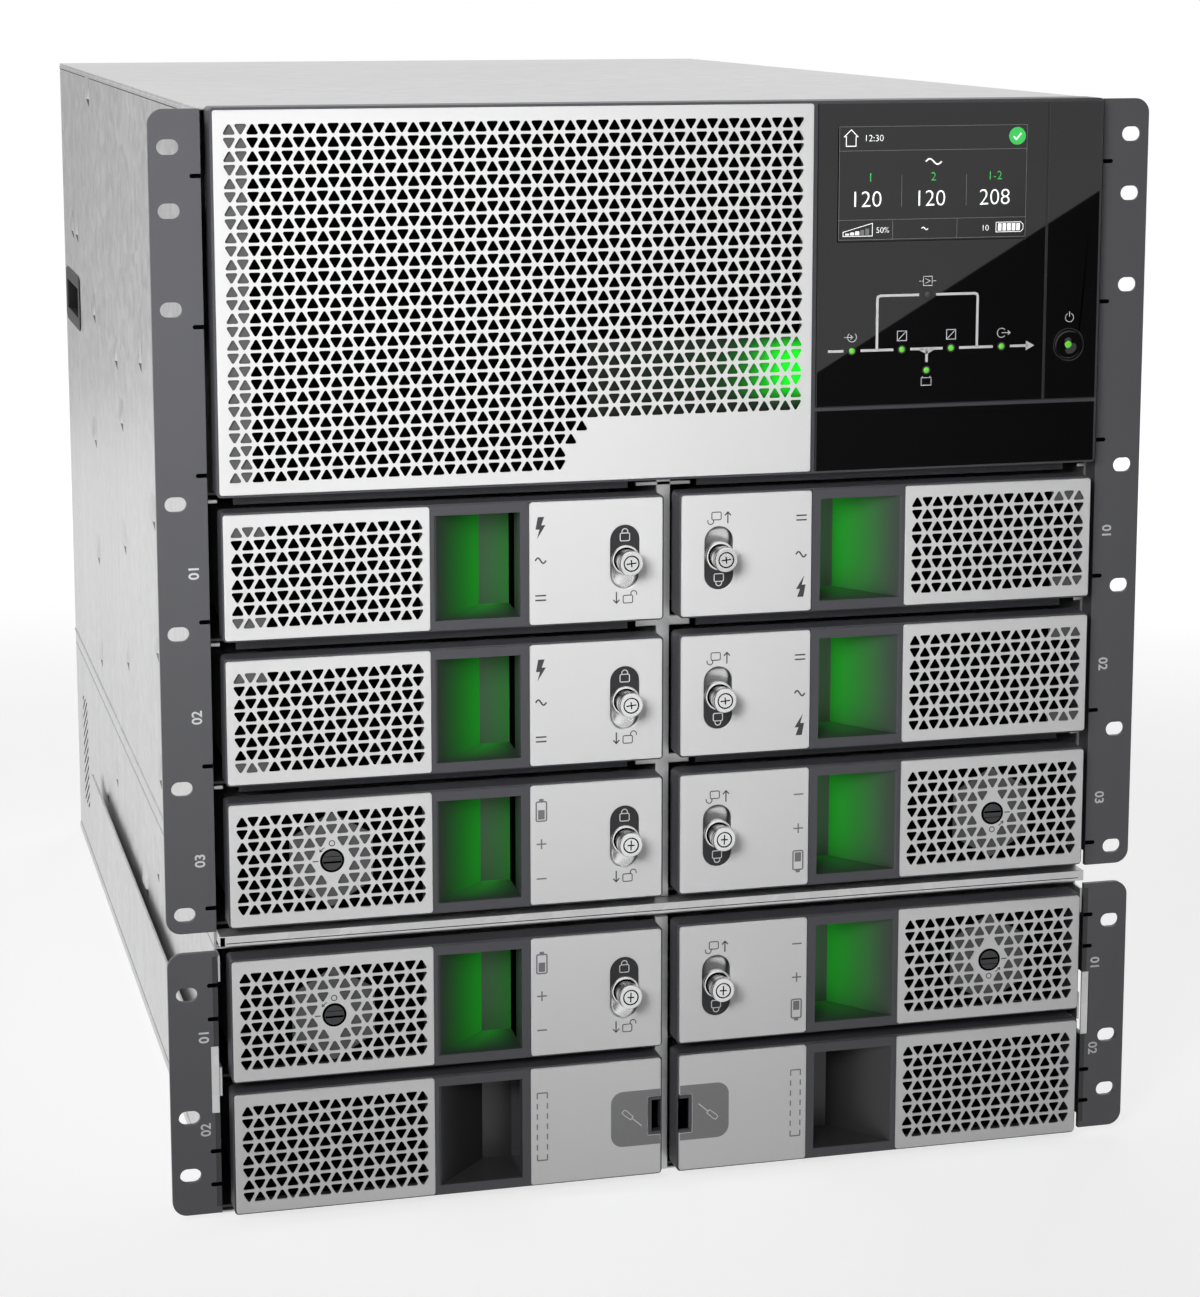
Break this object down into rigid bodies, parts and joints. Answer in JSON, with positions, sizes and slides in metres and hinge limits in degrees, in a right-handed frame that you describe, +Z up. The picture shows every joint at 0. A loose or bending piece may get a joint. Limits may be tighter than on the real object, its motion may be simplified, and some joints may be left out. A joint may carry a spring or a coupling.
{
  "type": "rack-mount modular ups with battery chassis",
  "caption": "Rack-mount modular power supply on a battery chassis: perforated header with display, rows of slide-out modules with finger pockets and lock knobs.",
  "frame": {"origin": "middle of the footprint on the floor", "axes": "+Z up, front faces -Y, +X to the right seen from the front"},
  "size_m": [0.4826, 0.7334, 0.5252],
  "materials": {
    "galvanised_steel": "spangled zinc",
    "ear_paint": "satin powder coat",
    "fascia_plastic": "fine moulded texture",
    "plate_paint": "satin",
    "display_gloss": "gloss",
    "bright_metal": "turned and plated",
    "rail_paint": "satin black",
    "black_plastic": "moulded"
  },
  "bodies": {
    "chassis": {"side_panels": "galvanised_steel", "top_covers": "galvanised_steel", "base_plates": "galvanised_steel", "rear_panels": "galvanised_steel", "shelves": "rail_paint", "centre_dividers": "galvanised_steel", "rack_ears": "ear_paint", "front_sill": "galvanised_steel", "support_rails": "galvanised_steel", "carry_handles": "black_plastic", "header_bezel": "fascia_plastic", "header_grille": "plate_paint", "display_panel": "display_gloss", "lower_panel": "display_gloss", "filler_fascias": "fascia_plastic", "filler_plates": "plate_paint"},
    "power_button": {"power_button": "display_gloss"},
    "power_a1": {"power_a1_case": "galvanised_steel", "power_a1_fascia": "fascia_plastic", "power_a1_plates": "plate_paint"},
    "power_a1_lock": {"power_a1_lock": "bright_metal"},
    "power_a2": {"power_a2_case": "galvanised_steel", "power_a2_fascia": "fascia_plastic", "power_a2_plates": "plate_paint"},
    "power_a2_lock": {"power_a2_lock": "bright_metal"},
    "battery_a3": {"battery_a3_case": "galvanised_steel", "battery_a3_fascia": "fascia_plastic", "battery_a3_plates": "plate_paint"},
    "battery_a3_lock": {"battery_a3_lock": "bright_metal"},
    "battery_a3_switch": {"battery_a3_switch": "black_plastic"},
    "battery_a4": {"battery_a4_case": "galvanised_steel", "battery_a4_fascia": "fascia_plastic", "battery_a4_plates": "plate_paint"},
    "battery_a4_lock": {"battery_a4_lock": "bright_metal"},
    "battery_a4_switch": {"battery_a4_switch": "black_plastic"},
    "power_b1": {"power_b1_case": "galvanised_steel", "power_b1_fascia": "fascia_plastic", "power_b1_plates": "plate_paint"},
    "power_b1_lock": {"power_b1_lock": "bright_metal"},
    "power_b2": {"power_b2_case": "galvanised_steel", "power_b2_fascia": "fascia_plastic", "power_b2_plates": "plate_paint"},
    "power_b2_lock": {"power_b2_lock": "bright_metal"},
    "battery_b3": {"battery_b3_case": "galvanised_steel", "battery_b3_fascia": "fascia_plastic", "battery_b3_plates": "plate_paint"},
    "battery_b3_lock": {"battery_b3_lock": "bright_metal"},
    "battery_b3_switch": {"battery_b3_switch": "black_plastic"},
    "battery_b4": {"battery_b4_case": "galvanised_steel", "battery_b4_fascia": "fascia_plastic", "battery_b4_plates": "plate_paint"},
    "battery_b4_lock": {"battery_b4_lock": "bright_metal"},
    "battery_b4_switch": {"battery_b4_switch": "black_plastic"}
  },
  "joints": [
    {"name": "power_a1_slide", "type": "slide", "parent": "chassis", "child": "power_a1", "axis": [0, -1, 0], "range_m": [0, 0.4]},
    {"name": "power_a1_lock_slide", "type": "slide", "parent": "power_a1", "child": "power_a1_lock", "axis": [0, 0, -1], "range_m": [0, 0.0069]},
    {"name": "power_a2_slide", "type": "slide", "parent": "chassis", "child": "power_a2", "axis": [0, -1, 0], "range_m": [0, 0.4]},
    {"name": "power_a2_lock_slide", "type": "slide", "parent": "power_a2", "child": "power_a2_lock", "axis": [0, 0, -1], "range_m": [0, 0.0069]},
    {"name": "battery_a3_slide", "type": "slide", "parent": "chassis", "child": "battery_a3", "axis": [0, -1, 0], "range_m": [0, 0.4]},
    {"name": "battery_a3_lock_slide", "type": "slide", "parent": "battery_a3", "child": "battery_a3_lock", "axis": [0, 0, -1], "range_m": [0, 0.0069]},
    {"name": "battery_a3_switch_turn", "type": "hinge", "parent": "battery_a3", "child": "battery_a3_switch", "pos_m": [-0.16445, -0.3547, 0.17575], "axis": [0, 1, 0], "range_deg": [0, 90]},
    {"name": "battery_a4_slide", "type": "slide", "parent": "chassis", "child": "battery_a4", "axis": [0, -1, 0], "range_m": [0, 0.4]},
    {"name": "battery_a4_lock_slide", "type": "slide", "parent": "battery_a4", "child": "battery_a4_lock", "axis": [0, 0, -1], "range_m": [0, 0.0069]},
    {"name": "battery_a4_switch_turn", "type": "hinge", "parent": "battery_a4", "child": "battery_a4_switch", "pos_m": [-0.16445, -0.3547, 0.1006], "axis": [0, 1, 0], "range_deg": [0, 90]},
    {"name": "power_b1_slide", "type": "slide", "parent": "chassis", "child": "power_b1", "axis": [0, -1, 0], "range_m": [0, 0.4]},
    {"name": "power_b1_lock_slide", "type": "slide", "parent": "power_b1", "child": "power_b1_lock", "axis": [0, 0, 1], "range_m": [0, 0.0069]},
    {"name": "power_b2_slide", "type": "slide", "parent": "chassis", "child": "power_b2", "axis": [0, -1, 0], "range_m": [0, 0.4]},
    {"name": "power_b2_lock_slide", "type": "slide", "parent": "power_b2", "child": "power_b2_lock", "axis": [0, 0, 1], "range_m": [0, 0.0069]},
    {"name": "battery_b3_slide", "type": "slide", "parent": "chassis", "child": "battery_b3", "axis": [0, -1, 0], "range_m": [0, 0.4]},
    {"name": "battery_b3_lock_slide", "type": "slide", "parent": "battery_b3", "child": "battery_b3_lock", "axis": [0, 0, 1], "range_m": [0, 0.0069]},
    {"name": "battery_b3_switch_turn", "type": "hinge", "parent": "battery_b3", "child": "battery_b3_switch", "pos_m": [0.16445, -0.3547, 0.17575], "axis": [0, 1, 0], "range_deg": [0, 90]},
    {"name": "battery_b4_slide", "type": "slide", "parent": "chassis", "child": "battery_b4", "axis": [0, -1, 0], "range_m": [0, 0.4]},
    {"name": "battery_b4_lock_slide", "type": "slide", "parent": "battery_b4", "child": "battery_b4_lock", "axis": [0, 0, 1], "range_m": [0, 0.0069]},
    {"name": "battery_b4_switch_turn", "type": "hinge", "parent": "battery_b4", "child": "battery_b4_switch", "pos_m": [0.16445, -0.3547, 0.1006], "axis": [0, 1, 0], "range_deg": [0, 90]},
    {"name": "power_button_press", "type": "slide", "parent": "chassis", "child": "power_button", "axis": [0, 1, 0], "range_m": [0, 0.0015], "stiffness_N_per_m": 400, "springref_m": -0.002}
  ]
}
